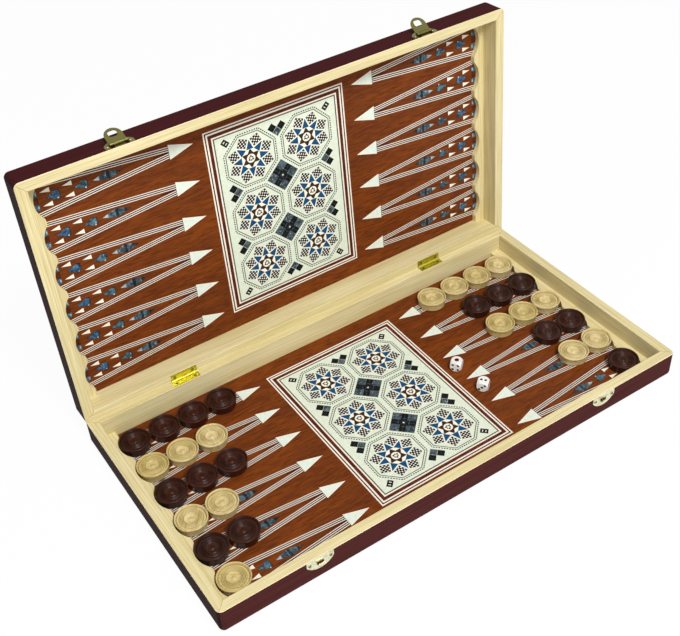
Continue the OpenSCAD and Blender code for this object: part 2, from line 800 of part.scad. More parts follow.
module light_piece_05() color(light_piece) game_piece(light_spots[4]);
module light_piece_06() color(light_piece) game_piece(light_spots[5]);
module light_piece_07() color(light_piece) game_piece(light_spots[6]);
module light_piece_08() color(light_piece) game_piece(light_spots[7]);
module light_piece_09() color(light_piece) game_piece(light_spots[8]);
module light_piece_10() color(light_piece) game_piece(light_spots[9]);
module light_piece_11() color(light_piece) game_piece(light_spots[10]);
module light_piece_12() color(light_piece) game_piece(light_spots[11]);
module light_piece_13() color(light_piece) game_piece(light_spots[12]);
module light_piece_14() color(light_piece) game_piece(light_spots[13]);
module light_piece_15() color(light_piece) game_piece(light_spots[14]);
module die_one() color(white) die(die_one_x, die_one_y, [1, 6, 4, 3, 2, 5]);
module die_two() color(white) die(die_two_x, die_two_y, [2, 5, 3, 4, 1, 6]);

lower_front_rail();
lower_hinge_rail();
lower_left_rail();
lower_right_rail();
lower_board();
lower_racks();
lower_point_inlays();
lower_centre_panel();
lower_chess_squares();
upper_front_rail();
upper_hinge_rail();
upper_left_rail();
upper_right_rail();
upper_board();
upper_racks();
upper_point_inlays();
upper_centre_panel();
upper_chess_squares();
lower_hinge_leaves();
upper_hinge_leaves();
hinge_pins();
catch_bases();
left_catch_tab();
right_catch_tab();
catch_pins();
catch_keepers();
lower_screws();
upper_screws();
dark_piece_01();
dark_piece_02();
dark_piece_03();
dark_piece_04();
dark_piece_05();
dark_piece_06();
dark_piece_07();
dark_piece_08();
dark_piece_09();
dark_piece_10();
dark_piece_11();
dark_piece_12();
dark_piece_13();
dark_piece_14();
dark_piece_15();
light_piece_01();
light_piece_02();
light_piece_03();
light_piece_04();
light_piece_05();
light_piece_06();
light_piece_07();
light_piece_08();
light_piece_09();
light_piece_10();
light_piece_11();
light_piece_12();
light_piece_13();
light_piece_14();
light_piece_15();
die_one();
die_two();
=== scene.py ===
"""Looks of a folding board set: marquetry, lacquered woods, brass and dice around the built frame.

Each inlay is a thin tile laid on the ground that holds it. Sizes below are in millimetres where a
name or comment says so, and every mesh is made in metres in the frame's own place at rest.
"""

import json
import math

import bpy
from bpy.props import FloatProperty, FloatVectorProperty, PointerProperty
from mathutils import Euler, Matrix, Vector


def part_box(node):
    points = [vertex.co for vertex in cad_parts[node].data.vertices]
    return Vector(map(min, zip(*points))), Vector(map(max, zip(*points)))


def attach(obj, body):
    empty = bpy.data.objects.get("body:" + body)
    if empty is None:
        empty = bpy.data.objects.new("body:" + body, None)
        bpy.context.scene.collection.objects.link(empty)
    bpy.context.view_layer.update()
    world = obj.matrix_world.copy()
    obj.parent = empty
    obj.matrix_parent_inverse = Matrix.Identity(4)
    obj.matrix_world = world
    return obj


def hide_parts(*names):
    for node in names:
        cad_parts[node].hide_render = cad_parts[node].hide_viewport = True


bl_info = {
    "name": "Folding Board Set",
    "version": (1, 0, 0),
    "blender": (4, 5, 0),
    "location": "3D View > Sidebar > Board Set",
    "description": "Marquetry, woods, brass, draughts pieces and dice of a folding board set",
    "category": "Object",
}

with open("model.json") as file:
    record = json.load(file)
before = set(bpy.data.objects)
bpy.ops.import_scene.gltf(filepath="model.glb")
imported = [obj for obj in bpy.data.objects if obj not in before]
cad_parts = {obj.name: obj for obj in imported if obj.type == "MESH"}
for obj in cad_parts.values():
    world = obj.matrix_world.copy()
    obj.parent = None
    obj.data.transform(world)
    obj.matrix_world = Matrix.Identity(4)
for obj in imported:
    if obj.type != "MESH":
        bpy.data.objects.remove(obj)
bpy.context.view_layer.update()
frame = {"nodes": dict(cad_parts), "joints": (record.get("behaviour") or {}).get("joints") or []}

MM = 0.001
BOARD_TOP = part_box("lower_board")[1].z / MM
PANEL_LOW, PANEL_HIGH = (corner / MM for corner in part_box("lower_centre_panel"))
RACK_LOW, RACK_HIGH = (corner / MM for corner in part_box("lower_racks"))
TRAY_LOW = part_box("lower_front_rail")[0] / MM
TRAY_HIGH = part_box("lower_hinge_rail")[1] / MM
RACK_WIDTH = 11.7
SCOOP_DEPTH = 6.0
ROWS = 6
ROW_MARGIN = 5.5
# width of a strip's bed in the board
POCKET = 5.9
# width of a short shell piece's bed
BUD_BED = 8
# tips of the white darts: from the rack's teeth, and from the point's middle
DART_TIPS = ((2.2, 6.5), (21.5, 5.3))
# tips of the two shell buds and of the long shell, from the rack's teeth
NEAR_BUD, FAR_BUD, LONG_SHELL = 6.6, 31.3, 48
# middle of the shell tile in a scoop, from the point's middle
SCOOP_TILE = 6.3

# the lid's place at rest: the lower tray's own place turned about the hinge line
HINGE = next(joint for joint in frame["joints"] if joint["name"] == "lid_hinge")
HINGE_POINT = Vector(HINGE["pos_m"])
LID_OPEN = math.radians(-HINGE["range_deg"][0])
TO_LID = (
    Matrix.Translation(HINGE_POINT)
    @ Matrix.Rotation(math.pi - LID_OPEN, 4, "X")
    @ Matrix.Rotation(math.pi, 4, "Z")
    @ Matrix.Translation(-HINGE_POINT)
)
TRAYS = {"lower": Matrix.Identity(4), "upper": TO_LID}
TRAY_BODY = {"lower": "lower_tray", "upper": "lid"}


def linear(code):
    """Linear RGB of an sRGB hex colour."""
    channels = (int(code[i : i + 2], 16) / 255 for i in (1, 3, 5))
    return tuple(c / 12.92 if c <= 0.04045 else ((c + 0.055) / 1.055) ** 2.4 for c in channels)


def size(label, about, default, low, high):
    """A length property, given in millimetres and held in metres."""
    return FloatProperty(
        name=label,
        description=about,
        default=default * MM,
        min=low * MM,
        max=high * MM,
        unit="LENGTH",
        precision=5,
    )


def colour(label, about, code):
    """A colour property with an sRGB hex default."""
    return FloatVectorProperty(
        name=label, description=about, default=linear(code), min=0, max=1, size=3, subtype="COLOR"
    )


class BOARDSET_PG_sizes(bpy.types.PropertyGroup):
    """Sizes of the inlays."""

    arrow_tip: size("Arrow tip", "Distance from the middle to the arrowheads' tips", 83, 78, 90)
    arrow_length: size("Arrow length", "Length of an arrowhead", 23.4, 18, 28)
    arrow_width: size("Arrow width", "Width of an arrowhead", 14.4, 12, 16)
    strip_width: size("Strip width", "Width of a lined strip", 4.6, 3.5, 5.9)
    strip_spread: size("Strip spread", "Distance of a strip from its point's middle", 13.6, 13, 15)
    dark_line: size("Dark line", "Width of a dark line in the strips", 1.15, 0.3, 1.3)
    dart_length: size("Dart length", "Length of the white darts", 8.6, 7, 9)
    dart_width: size("Dart width", "Width of the white darts", 4.4, 3, 4.8)
    bud_width: size("Bud width", "Width of the short shell pieces' bright part", 8, 4, 9)
    shell_width: size("Long shell width", "Width of the long shell piece", 7.6, 6, 8)
    long_shell: size("Long shell", "Length of the long shell piece", 27, 22, 30)
    check: size("Checked square", "Edge length of a star's checked squares", 8.8, 8, 9)
    check_distance: size("Square distance", "From the star's middle to its squares' middles", 18.3, 18, 18.6)
    blue_tip: size("Blue tip", "From the star's middle to its blue tips", 18.8, 17, 19.4)
    blue_base: size("Blue base", "From the star's middle to its blue points' bases", 9.4, 9, 11)
    blue_width: size("Blue width", "Width of a blue point", 7.3, 5, 7.6)
    white_edge: size("White edge", "Width of the white edging of the blue points", 0.7, 0.4, 1.1)
    inner_star: size("Inner star", "Radius of the brown six-pointed star", 10.2, 8, 10.6)
    button: size("Button", "Radius of the white disc in the brown star", 4.4, 3, 5)
    diamond: size("Diamond", "Edge length of the dark diamonds", 23.6, 20, 25)
    half_cell: size("Half diamond", "Edge length of the squares in the half diamonds", 6.9, 5, 7.2)
    corner_length: size("Corner tile length", "Length of the dark tiles in the corners", 7.6, 5, 8)
    corner_width: size("Corner tile width", "Width of the dark tiles in the corners", 5.5, 4, 6)
    piece_height: size("Piece height", "Height of a draughts piece", 9.5, 8, 10)


class BOARDSET_PG_colours(bpy.types.PropertyGroup):
    """Colours of the woods, the inlays and the metal."""

    pale_wood: colour("Pale wood", "Lacquered pine of the rails and racks", "#DBCC96")
    stain: colour("Stain", "Burgundy stain of the outer faces", "#4C2321")
    mahogany: colour("Mahogany", "The boards", "#6E3716")
    mint: colour("Mint ground", "Ground of the centre panels and the arrowheads", "#E3EAD9")
    blue: colour("Blue", "Dyed points of the stars", "#0A5080")
    light_piece: colour("Light pieces", "Turned pieces in pale lacquered wood", "#CFBB80")
    dark_piece: colour("Dark pieces", "Turned pieces in dark brown lacquered wood", "#381C11")
    brass: colour("Hinge brass", "Bright yellow brass of the hinges", "#CCC24E")
    keeper_brass: colour("Keeper brass", "Pale brass of the keepers", "#F0EECC")
    # the catches' brass is the keepers' plating, made darker as painted shade
    catch_brass: colour("Catch brass", "Darker brass of the catches", "#767344")


def sizes():
    """The size properties, read in millimetres."""
    group = bpy.context.scene.board_set_sizes
    return {name: getattr(group, name) / MM for name in group.__annotations__}


def tint(name):
    """A colour property as a shader colour."""
    return (*getattr(bpy.context.scene.board_set_colours, name), 1.0)


def shade(code):
    """A hex colour as a shader colour."""
    return (*linear(code), 1.0)


# Materials


MATH = "ShaderNodeMath"
RANGE = "ShaderNodeMapRange"


def connect(tree, node, inputs):
    """Sets a node's inputs, or links them from another node or one of its sockets."""
    for name, value in inputs.items():
        if isinstance(value, bpy.types.Node):
            value = next(socket for socket in value.outputs if socket.enabled)
        if isinstance(value, bpy.types.NodeSocket):
            tree.links.new(value, node.inputs[name])
        else:
            node.inputs[name].default_value = value


def add(tree, kind, inputs=None, **settings):
    """Adds a node with its settings, and sets or links its inputs."""
    made = tree.nodes.new(kind)
    for name, value in settings.items():
        setattr(made, name, value)
    connect(tree, made, inputs or {})
    return made


def material(name, surface):
    """A new material with its shader's own sockets set; returns it, its tree and its shader."""
    made = bpy.data.materials.new(name)
    made.use_nodes = True
    shader = made.node_tree.nodes["Principled BSDF"]
    connect(made.node_tree, shader, surface)
    return made, made.node_tree, shader


def tray_space(tree, tray):
    """Place in the tray in millimetres, and the surface's direction there."""
    back = TRAYS[tray].inverted()
    turn = back.to_euler()
    source = add(tree, "ShaderNodeTexCoord")
    inverse = {"Location": back.translation / MM, "Rotation": turn, "Scale": (1 / MM,) * 3}
    place = add(tree, "ShaderNodeMapping", {"Vector": source.outputs["Object"], **inverse})
    normal = {"Vector": source.outputs["Normal"], "Rotation": turn}
    return place, add(tree, "ShaderNodeMapping", normal, vector_type="VECTOR")


def streaks(tree, place, along, length, width, detail=4.0, shift=0.0):
    """Drawn-out noise for grain: length and width of a streak in millimetres."""
    scale = [1 / width] * 3
    scale["xyz".index(along)] = 1 / length
    moved = {"Vector": place, "Scale": scale, "Location": (shift, shift * 0.7, 0)}
    stretched = add(tree, "ShaderNodeMapping", moved)
    noise = {"Vector": stretched, "Scale": 1.0, "Detail": detail, "Roughness": 0.6}
    return add(tree, "ShaderNodeTexNoise", noise)


def toned(tree, base, layers):
    """Lays tones over a colour, each by its pattern's stretch from low to high, up to a share."""
    for pattern, low, high, share, tone in layers:
        stretch = {"Value": pattern, "From Min": low, "From Max": high, "To Max": share}
        amount = add(tree, RANGE, stretch)
        base = add(tree, "ShaderNodeMix", {0: amount, 6: base, 7: tone}, data_type="RGBA")
    return base


def mitre_distance(tree, place):
    """Distance from the mitres of the four corners, in millimetres."""
    axes = add(tree, "ShaderNodeSeparateXYZ", {0: place})
    along = add(tree, MATH, {0: axes.outputs["X"]}, operation="ABSOLUTE")
    out_x = add(tree, MATH, {0: along, 1: RACK_HIGH.x}, operation="SUBTRACT")
    outs = []
    for inner, outer in ((RACK_HIGH.y, TRAY_HIGH.y), (RACK_LOW.y, TRAY_LOW.y)):
        slope = (TRAY_HIGH.x - RACK_HIGH.x) / (outer - inner)
        line = {0: axes.outputs["Y"], 1: slope, 2: -inner * slope}
        outs.append(add(tree, MATH, line, operation="MULTIPLY_ADD"))
    out_y = add(tree, MATH, {0: outs[0], 1: outs[1]}, operation="MAXIMUM")
    across = add(tree, MATH, {0: out_x, 1: out_y}, operation="SUBTRACT")
    return add(tree, MATH, {0: across}, operation="ABSOLUTE")


def pine(tray, along, stained=False):
    """Satin-lacquered pine: pale, with long uneven grain lines and a few broad warm bands.

    On the rails the outer faces are stained burgundy; the eased edge is left unstained and painted brighter
    than the pine, as a painted highlight.
    Grain lines are about 1 and 3 mm apart and bands about 11 mm, as on slow-grown boards.
    """
    name = f"{tray}_lacquered_pine_{along}" + ("_stained_outside" if stained else "")
    if name in bpy.data.materials:
        return bpy.data.materials[name]
    satin, gleam = 0.5, 0.16
    made, tree, shader = material(name, {"Roughness": satin, "Specular IOR Level": gleam})
    place, facing = tray_space(tree, tray)
    fine = streaks(tree, place, along, 70, 1.1)
    drawn = streaks(tree, place, along, 110, 3.2, shift=12)
    broad = streaks(tree, place, along, 170, 11, shift=31)
    grain = [
        (broad, 0.35, 0.7, 1.0, shade("#EBDFB2")),
        (broad, 0.6, 0.8, 0.4, shade("#D6BC86")),
        (drawn, 0.5, 0.72, 0.38, shade("#BDA872")),
        (fine, 0.45, 0.65, 0.48, shade("#B7A368")),
    ]
    wood = toned(tree, tint("pale_wood"), grain)
    pores = add(tree, "ShaderNodeBump", {"Height": fine, "Distance": 0.05 * MM})
    connect(tree, shader, {"Base Color": wood, "Normal": pores})
    if stained:
        glued = toned(tree, wood, [(mitre_distance(tree, place), 0.35, 0.15, 0.6, shade("#7A6338"))])
        colour, outside = stain_outside(tree, tray, along, place, facing, drawn, glued)
        dull = add(tree, RANGE, {"Value": outside, "To Min": gleam, "To Max": 0.05})
        rough = add(tree, RANGE, {"Value": outside, "To Min": satin, "To Max": 0.7})
        connect(tree, shader, {"Base Color": colour, "Specular IOR Level": dull, "Roughness": rough})
    return made


def stain_outside(tree, tray, along, place, facing, drawn, wood):
    """The burgundy coat over bare wood on the outer faces, and the share of it at each place."""
    signs = add(tree, "ShaderNodeVectorMath", {0: place}, operation="SIGN")
    outward = add(tree, "ShaderNodeVectorMath", {0: facing, 1: signs}, operation="MULTIPLY")
    sides = add(tree, "ShaderNodeSeparateXYZ", {0: outward})
    up = add(tree, "ShaderNodeSeparateXYZ", {0: facing}).outputs["Z"]
    across = add(tree, MATH, {0: sides.outputs["X"], 1: sides.outputs["Y"]}, operation="MAXIMUM")
    down = add(tree, MATH, {0: up, 1: -1.0}, operation="MULTIPLY")
    outer = add(tree, MATH, {0: across, 1: down}, operation="MAXIMUM")
    reach = add(tree, RANGE, {"Value": outer, "From Min": 0.3, "From Max": 0.5})
    shares = []
    # how far up a face may look and still be coated, or carry the eased edge's painted highlight
    for limit in (0.5, 0.9):
        steep = add(tree, RANGE, {"Value": up, "From Min": limit, "From Max": 0.35})
        shares.append(add(tree, MATH, {0: reach, 1: steep}, operation="MULTIPLY"))
    outside, bare = shares
    # painted shade: the end rails and the lid get a darker stain, as their outer faces turn away from the
    # light
    deep = (0.3, 0.3, 0.35) if along == "y" else (0.68, 0.38, 0.5) if tray == "upper" else (1, 1, 1)
    coat = [channel * share for channel, share in zip(tint("stain"), deep)]
    streak = [channel * 0.55 for channel in coat]
    stain = toned(tree, (*coat, 1.0), [(drawn, 0.4, 0.7, 0.7, (*streak, 1.0))])
    # the eased edge: unstained wood, painted a bright pale tone as a painted highlight
    edged = add(tree, "ShaderNodeMix", {0: bare, 6: wood, 7: shade("#F2DFCB")}, data_type="RGBA")
    return add(tree, "ShaderNodeMix", {0: outside, 6: edged, 7: stain}, data_type="RGBA"), outside


def mahogany(tray):
    """Satin-lacquered mahogany plywood face: red-brown ribbons with short dark pores along it.

    The ribbons are about 11 mm wide. The pores are 0.6 mm, wider than real ones, so that they show.
    """
    name = f"{tray}_lacquered_mahogany"
    if name in bpy.data.materials:
        return bpy.data.materials[name]
    made, tree, shader = material(name, {"Roughness": 0.42, "Specular IOR Level": 0.07})
    place, _ = tray_space(tree, tray)
    ribbon = streaks(tree, place, "x", 60, 11, detail=3)
    fine = streaks(tree, place, "x", 14, 1.6, detail=5, shift=17)
    pores = streaks(tree, place, "x", 12, 0.6, detail=2, shift=53)
    grain = [
        (ribbon, 0.35, 0.68, 1.0, shade("#844214")),
        (fine, 0.42, 0.65, 0.75, shade("#52240F")),
        (pores, 0.58, 0.72, 0.75, shade("#351408")),
    ]
    sunk = add(tree, "ShaderNodeBump", {"Height": pores, "Distance": -0.04 * MM})
    connect(tree, shader, {"Base Color": toned(tree, tint("mahogany"), grain), "Normal": sunk})
    return made


def veneer(name, main, other, spread=1.0):
    """Dyed or natural wood veneer under lacquer: one even colour with a faint fine figure.

    The figure is about 1.7 mm across, or as many times that as the spread says.
    """
    made, tree, shader = material(name, {"Roughness": 0.42, "Specular IOR Level": 0.14})
    place = add(tree, "ShaderNodeTexCoord").outputs["Object"]
    noise = {"Vector": place, "Scale": 0.6 / MM / spread, "Detail": 3.0, "Roughness": 0.6}
    figure = add(tree, "ShaderNodeTexNoise", noise)
    connect(tree, shader, {"Base Color": toned(tree, main, [(figure, 0.35, 0.65, 1.0, other)])})
    return made


def shell(name, deep, bright, flash):
    """Polished mussel shell: blue-grey with pale silky bands, smoother than the wood round it.

    Its bands are about 4.5 mm wide, with flashes of about 2 mm in them.
    """
    made, tree, shader = material(name, {"Roughness": 0.28, "Specular IOR Level": 0.18})
    place = add(tree, "ShaderNodeTexCoord").outputs["Object"]
    bands = {"Vector": place, "Scale": 0.22 / MM, "Detail": 4.0, "Distortion": 1.2}
    wide = add(tree, "ShaderNodeTexNoise", bands)
    flashes = {"Vector": place, "Scale": 0.55 / MM, "Detail": 3.0, "Distortion": 0.6}
    narrow = add(tree, "ShaderNodeTexNoise", flashes)
    silk = toned(tree, deep, [(wide, 0.4, 0.62, 1.0, bright), (narrow, 0.6, 0.75, 1.0, flash)])
    connect(tree, shader, {"Base Color": silk})
    return made


def brass(name, tone, roughness):
    """Plated pressed brass: a soft mirror with faint wear that dulls it in patches of about 3 mm."""
    made, tree, shader = material(name, {"Metallic": 1.0})
    place = add(tree, "ShaderNodeTexCoord").outputs["Object"]
    patches = {"Vector": place, "Scale": 0.35 / MM, "Detail": 5.0, "Roughness": 0.65}
    wear = add(tree, "ShaderNodeTexNoise", patches)
    stretch = {"Value": wear, "From Min": 0.3, "From Max": 0.7}
    dull = add(tree, RANGE, {**stretch, "To Min": roughness - 0.06, "To Max": roughness + 0.1})
    dents = add(tree, "ShaderNodeBump", {"Height": wear, "Distance": 0.02 * MM})
    worn = toned(tree, tone, [(wear, 0.45, 0.7, 0.5, shade("#6E6228"))])
    connect(tree, shader, {"Base Color": worn, "Roughness": dull, "Normal": dents})
    return made


# radius and half width of the dark rings painted as shade in a turned piece's grooves and just inside its
# lip, in millimetres
GROOVE_SHADE_RINGS = ((12.9, 0.55), (10.55, 0.4), (9.2, 0.35), (8.0, 0.35), (6.75, 0.45))


def turned_wood(name, tone, streak, glow, sharp, groove_shade):
    """Turned hardwood under gloss lacquer: grain lines across the piece, each piece a little different.

    Dark rings are painted in the grooves between the turned beads and just inside the lip, as painted shade,
    so that the beads show.
    """
    made, tree, shader = material(name, {"Roughness": sharp, "Specular IOR Level": 0.16})
    source = add(tree, "ShaderNodeTexCoord").outputs["Object"]
    own = add(tree, "ShaderNodeObjectInfo").outputs["Random"]
    place = add(tree, "ShaderNodeMapping", {"Vector": source, "Scale": (1 / MM,) * 3})
    # each piece is cut from its own place in 300 mm of wood
    away = add(tree, MATH, {0: own, 1: 300.0}, operation="MULTIPLY")
    moved = add(tree, "ShaderNodeVectorMath", {0: place, 1: away}, operation="ADD")
    grain = streaks(tree, moved, "x", 22, 1.5)
    figure = streaks(tree, moved, "x", 30, 5, shift=9)
    layers = [(own, 0, 1, 0.6, glow), (figure, 0.45, 0.7, 0.45, streak), (grain, 0.45, 0.68, 0.6, streak)]
    lined = toned(tree, tone, layers)
    axes = add(tree, "ShaderNodeSeparateXYZ", {0: place})
    flat = add(tree, "ShaderNodeCombineXYZ", {0: axes.outputs["X"], 1: axes.outputs["Y"]})
    out = add(tree, "ShaderNodeVectorMath", {0: flat}, operation="LENGTH")
    # painted shade: a dark ring on each groove, darkest near its middle and gone at its half width
    drawn = 0.0
    for radius, wide in GROOVE_SHADE_RINGS:
        offset = add(tree, MATH, {0: out, 1: radius}, operation="SUBTRACT")
        beside = add(tree, MATH, {0: offset}, operation="ABSOLUTE")
        fade = {"Value": beside, "From Min": wide, "From Max": wide * 0.4, "To Max": 0.8}
        drawn = add(tree, MATH, {0: drawn, 1: add(tree, RANGE, fade)}, operation="MAXIMUM")
    # only above the wall, 5 to 5.6 mm up
    above = add(tree, RANGE, {"Value": axes.outputs["Z"], "From Min": 5.0, "From Max": 5.6})
    rings = add(tree, MATH, {0: drawn, 1: above}, operation="MULTIPLY")
    groove_shaded = add(tree, "ShaderNodeMix", {0: rings, 6: lined, 7: groove_shade}, data_type="RGBA")
    raised = add(tree, "ShaderNodeBump", {"Height": grain, "Distance": 0.02 * MM})
    connect(tree, shader, {"Base Color": groove_shaded, "Normal": raised})
    return made


def dice_plastic():
    """Cast white urea: smooth and bright with a very slight cloud, about 5 mm across."""
    surface = {"Roughness": 0.22, "Coat Weight": 0.3, "Coat Roughness": 0.1}
    made, tree, shader = material("cast_white_urea", surface)
    place = add(tree, "ShaderNodeTexCoord").outputs["Object"]
    cloud = add(tree, "ShaderNodeTexNoise", {"Vector": place, "Scale": 0.2 / MM, "Detail": 2.0})
    tone = toned(tree, shade("#F3F2EE"), [(cloud, 0.3, 0.7, 1.0, shade("#E9E8E4"))])
    connect(tree, shader, {"Base Color": tone})
    return made


def pip_paint(name, code):
    """Paint let into the dice's pips: flat and slightly uneven, in brush marks under 1 mm."""
    made, tree, shader = material(name, {"Roughness": 0.5, "Specular IOR Level": 0.05})
    place = add(tree, "ShaderNodeTexCoord").outputs["Object"]
    uneven = add(tree, "ShaderNodeTexNoise", {"Vector": place, "Scale": 1.5 / MM, "Detail": 2.0})
    marks = add(tree, "ShaderNodeBump", {"Height": uneven, "Distance": 0.05 * MM})
    connect(tree, shader, {"Base Color": shade(code), "Normal": marks})
    return made


def inlay_materials():
    """The marquetry's woods and shells, by their use."""
    return {
        "mint": veneer("dyed_holly_veneer", tint("mint"), shade("#DAE1CA"), 2.0),
        "pale": veneer("bleached_holly_arrowheads", shade("#E6EFE1"), shade("#DBE6D7"), 2.0),
        "peach": veneer("maple_stringing", shade("#FBEFE2"), shade("#F1DFCE")),
        "line": veneer("black_dyed_stringing", shade("#120A08"), shade("#1C100C")),
        "band": veneer("rosewood_banding", shade("#43190B"), shade("#5E2B15"), 3.0),
        "soft_line": veneer("grey_dyed_stringing", shade("#3E4636"), shade("#545C48")),
        "blue": veneer("blue_dyed_sycamore", tint("blue"), shade("#0A4468")),
        "check_dark": veneer("ebonised_checks", shade("#0A0909"), shade("#121010")),
        "check_light": veneer("pale_checks", shade("#F8F4EA"), shade("#ECE6D8")),
        "brown": veneer("smoked_oak_points", shade("#2C1B10"), shade("#3E2A1A")),
        "white": veneer("bone_white_holly", shade("#F9F4E4"), shade("#F0EAD8")),
        "ebony": veneer("polished_ebony", shade("#070809"), shade("#101214")),
        "shell_blue": shell("blue_mussel_shell", shade("#233C52"), shade("#456F94"), shade("#90AEBE")),
        "shell_teal": shell("teal_mussel_shell", shade("#283A42"), shade("#527484"), shade("#9AB2BA")),
        "shell_grey": shell("grey_mussel_shell", shade("#29333A"), shade("#55646C"), shade("#B2C0C6")),
        "shell_dark": shell("dark_mussel_shell", shade("#12171A"), shade("#283238"), shade("#5A686E")),
        "shell_pale": shell("pale_pearl_shell", shade("#8C9EA4"), shade("#B6C2C6"), shade("#DEE4E4")),
    }


def dress(nodes, made):
    """Gives CAD nodes one material."""
    for name in nodes:
        mesh = frame["nodes"][name].data
        mesh.materials.clear()
        mesh.materials.append(made)


# Marquetry: tiles are (material, outline in tray millimetres, layer)

# step between two layers, so that no two faces lie in one plane, and the layer flush with the board
LAYER = 0.02
FLUSH = 4
TILE_DEPTH = 0.5


def shifted(outline, x, y):
    """An outline moved by x and y."""
    return [(px + x, py + y) for px, py in outline]


def turned(outline, degrees):
    """An outline turned about its origin."""
    c, s = math.cos(math.radians(degrees)), math.sin(math.radians(degrees))
    return [(c * x - s * y, s * x + c * y) for x, y in outline]


def placed(tiles, x, y, turn=0.0):
    """Tiles turned and moved."""
    return [(kind, shifted(turned(outline, turn), x, y), layer) for kind, outline, layer in tiles]


def rectangle(length, width, x=0.0, y=0.0):
    """A rectangle about x, y."""
    a, b = length / 2, width / 2
    return [(x - a, y - b), (x + a, y - b), (x + a, y + b), (x - a, y + b)]


def ring_outline(count, radius, first=0.0):
    """A regular polygon's corners."""
    step = 2 * math.pi / count
    start = math.radians(first)
    return [(radius * math.cos(start + i * step), radius * math.sin(start + i * step)) for i in range(count)]


def wedge(tip, base, half):
    """A triangle that points along x."""
    return [(base, -half), (tip, 0), (base, half)] if tip > base else [(base, half), (tip, 0), (base, -half)]


def drum(first, count, levels=2):
    """Faces of a closed stack of rings of corners, numbered from the lowest ring up."""
    last = first + (levels - 1) * count
    faces = [[first + i for i in reversed(range(count))], [last + i for i in range(count)]]
    for low in range(first, last, count):
        for i in range(count):
            j = (i + 1) % count
            faces.append([low + i, low + j, low + count + j, low + count + i])
    return faces


def mesh_piece(name, corners, faces, woods, marks=None):
    """A mesh object in the scene with its materials, and each face's own one where marks say so."""
    mesh = bpy.data.meshes.new(name)
    mesh.from_pydata(corners, [], faces)
    for wood in woods:
        mesh.materials.append(wood)
    if marks:
        mesh.polygons.foreach_set("material_index", marks)
    mesh.update()
    piece = bpy.data.objects.new(name, mesh)
    bpy.context.scene.collection.objects.link(piece)
    return piece


def build(name, tray, tiles, woods, replaced):
    """One mesh of closed tiles that stands for a CAD node: the fourth layer is flush with the board."""
    names = sorted({tile[0] for tile in tiles})
    corners, faces, marks = [], [], []
    bottom = BOARD_TOP - TILE_DEPTH
    for wood, outline, layer in tiles:
        area = sum(a[0] * b[1] - b[0] * a[1] for a, b in zip(outline, outline[1:] + outline[:1]))
        loop = outline if area > 0 else outline[::-1]
        tile = drum(len(corners), len(loop))
        for z in (bottom, BOARD_TOP - (FLUSH - layer) * LAYER):
            corners += [TRAYS[tray] @ (Vector((x, y, z)) * MM) for x, y in loop]
        faces += tile
        marks += [names.index(wood)] * len(tile)
    piece = mesh_piece(name, corners, faces, [woods[wood] for wood in names], marks)
    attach(piece, TRAY_BODY[tray])
    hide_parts(replaced)


def band_outline(start, end, low, high):
    """A band from start to end, each (x, y), between two distances from that line."""
    (ax, ay), (bx, by) = start, end
    return [(ax, ay + low), (bx, by + low), (bx, by + high), (ax, ay + high)]


def lined_strip(start, end, width, dark):
    """Pale lines with dark ones between them, let into the board; fewer and wider than real ones, to show."""
    pale = (width - 2 * dark) / 3
    tiles, edge = [("board", band_outline(start, end, -POCKET / 2, POCKET / 2), 3)], -width / 2
    for i in range(5):
        wide = dark if i % 2 else pale
        tiles.append(("line" if i % 2 else "peach", band_outline(start, end, edge, edge + wide), 4))
        edge += wide
    return tiles


def dart(x, y, length, width):
    """A white dart with its tip at x, y."""
    return [("white", shifted(wedge(0, -length, width / 2), x, y), 4)]


def shell_bud(x, width, core):
    """A shell bud that widens away from the rack from x, in a dark edging with a white speck."""
    side = [(0, 0.12), (-5, 0.3), (-8, 0.5), (-10.5, 0.4)]
    heart = [(-0.6, 0.12), (-4.6, 0.2), (-6.2, 0.46), (-9, 0.5), (-11.2, 0.36)]

    def leaf(half, wide, scale=1.0):
        edge = [(px * scale, share * wide) for px, share in half]
        return shifted([(px, -py) for px, py in edge] + edge[::-1], x, 0)

    tiles = [("shell_dark", leaf(side, BUD_BED), 3), ("shell_dark", leaf(heart, width * 1.2, 1.08), 5)]
    speck = shifted(ring_outline(6, 0.8), x - 9.6, 3.4)
    return tiles + [(core, leaf(heart, width), 6), ("white", speck, 6)]


def long_shell(x, length, width):
    """The long pointed shell: bright at the rack, then crossed by paler bands, fading into dark."""
    half = width / 2
    cuts = [0, 0.2, 0.3, 0.4, 0.46, 0.56, 0.62, 0.72, 0.78, 1.0]
    kinds = ["shell_pale", "shell_teal", "shell_grey", "shell_teal", "shell_dark", "shell_teal"]
    kinds += ["shell_grey", "shell_teal", "shell_dark"]
    tiles = []
    for near, far, kind in zip(cuts, cuts[1:], kinds):
        halves = [half * min(1.0, t / 0.4, (1 - t) / 0.4) for t in (near, far)]
        a, b = x - near * length, x - far * length
        tiles.append((kind, [(a, -halves[0]), (a, halves[0]), (b, halves[1]), (b, -halves[1])], 4))
    return tiles


